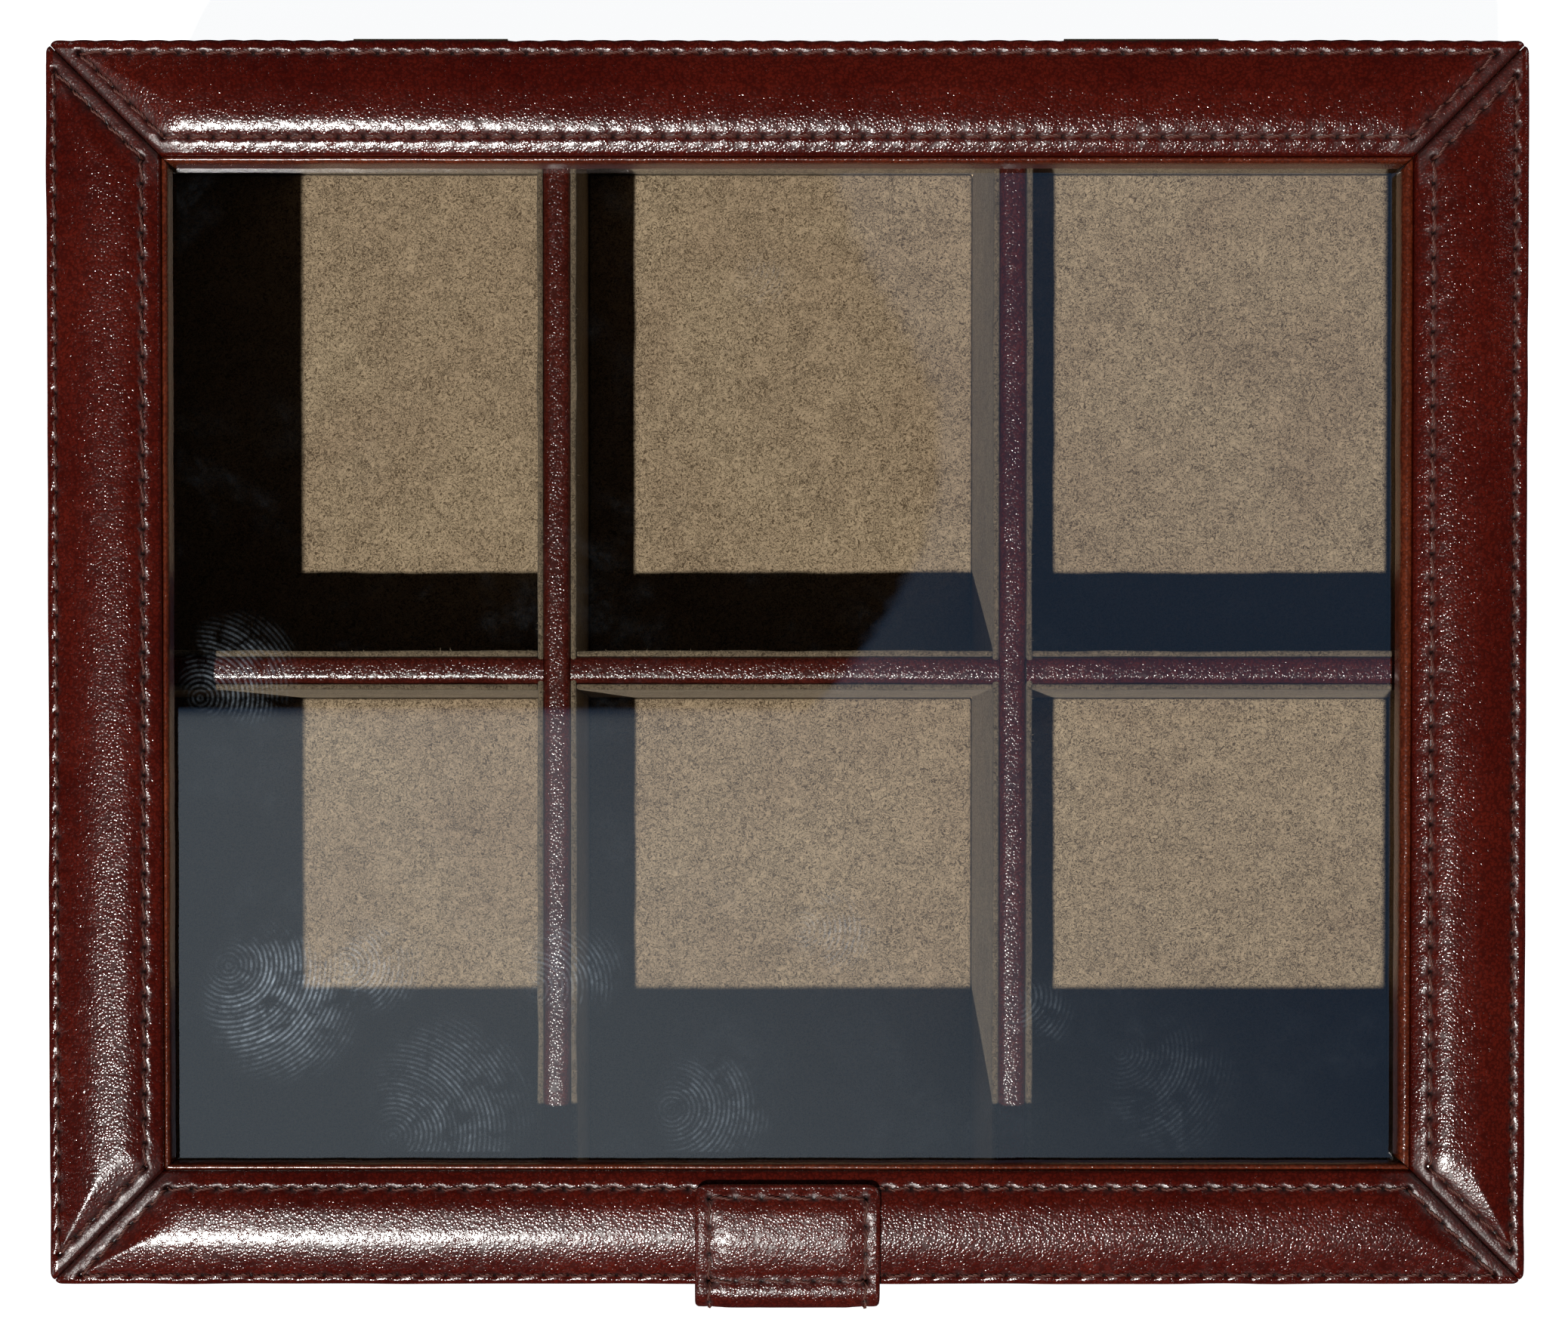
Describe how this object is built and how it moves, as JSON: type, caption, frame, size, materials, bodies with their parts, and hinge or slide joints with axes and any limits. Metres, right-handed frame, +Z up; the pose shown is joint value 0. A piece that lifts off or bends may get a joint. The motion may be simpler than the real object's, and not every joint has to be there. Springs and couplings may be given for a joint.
{
  "type": "multi glasses organizer box",
  "caption": "Low leather covered box with a stitched padded frame lid, glass window, front latch tab and suede lined compartments for glasses.",
  "frame": {"origin": "middle of the felt underside, on the surface the box rests on, centred on the case body", "axes": "+X to the right across the width, -Y to the front where the latch tab is, +Y to the hinges, +Z up"},
  "size_m": [0.244, 0.213, 0.0764],
  "materials": {
    "leather": "glossy oxblood leather with a fine pebble grain",
    "suede": "matt tan suede with a short brushed nap",
    "glass": "clear polished float glass",
    "board": "plain fibre board and softwood, hidden",
    "foam": "soft open foam, hidden",
    "felt": "dark pressed felt",
    "thread": "waxed two ply sewing thread",
    "brass": "satin brass",
    "steel": "nickel plated"
  },
  "bodies": {
    "base": {"underside_felt": "felt", "bottom_board": "board", "front_board": "board", "back_board": "board", "left_board": "board", "right_board": "board", "front_leather": "leather", "back_leather": "leather", "left_leather": "leather", "right_leather": "leather", "front_lining": "suede", "back_lining": "suede", "left_lining": "suede", "right_lining": "suede", "floor_pads": "suede", "left_divider_core": "board", "left_divider_leather": "leather", "left_divider_suede": "suede", "right_divider_core": "board", "right_divider_leather": "leather", "right_divider_suede": "suede", "cross_divider_left_core": "board", "cross_divider_left_leather": "leather", "cross_divider_left_suede": "suede", "cross_divider_middle_core": "board", "cross_divider_middle_leather": "leather", "cross_divider_middle_suede": "suede", "cross_divider_right_core": "board", "cross_divider_right_leather": "leather", "cross_divider_right_suede": "suede", "base_hinge_leaves": "brass", "base_hinge_screws": "brass", "latch_keeper": "steel"},
    "lid": {"lid_front_rail": "board", "lid_front_strip": "leather", "window_front_lip": "leather", "lid_front_lining": "suede", "lid_back_rail": "board", "lid_back_strip": "leather", "window_back_lip": "leather", "lid_back_lining": "suede", "lid_left_rail": "board", "lid_left_strip": "leather", "window_left_lip": "leather", "lid_left_lining": "suede", "lid_right_rail": "board", "lid_right_strip": "leather", "window_right_lip": "leather", "lid_right_lining": "suede", "lid_padding": "foam", "window_glass": "glass", "lid_stitching": "thread", "lid_hinge_leaves": "brass", "lid_hinge_screws": "brass", "hinge_pins": "brass", "latch_tab": "leather"},
    "latch_flap": {"latch_flap": "leather", "latch_magnet": "steel", "flap_stitching": "thread"}
  },
  "joints": [
    {"name": "lid_hinge", "type": "hinge", "parent": "base", "child": "lid", "pos_m": [0, 0.1045, 0.0572], "axis": [-1, 0, 0], "range_deg": [0, 105]},
    {"name": "flap_fold", "type": "hinge", "parent": "lid", "child": "latch_flap", "pos_m": [0, -0.10455, 0.0743], "axis": [-1, 0, 0], "range_deg": [0, 100]}
  ]
}
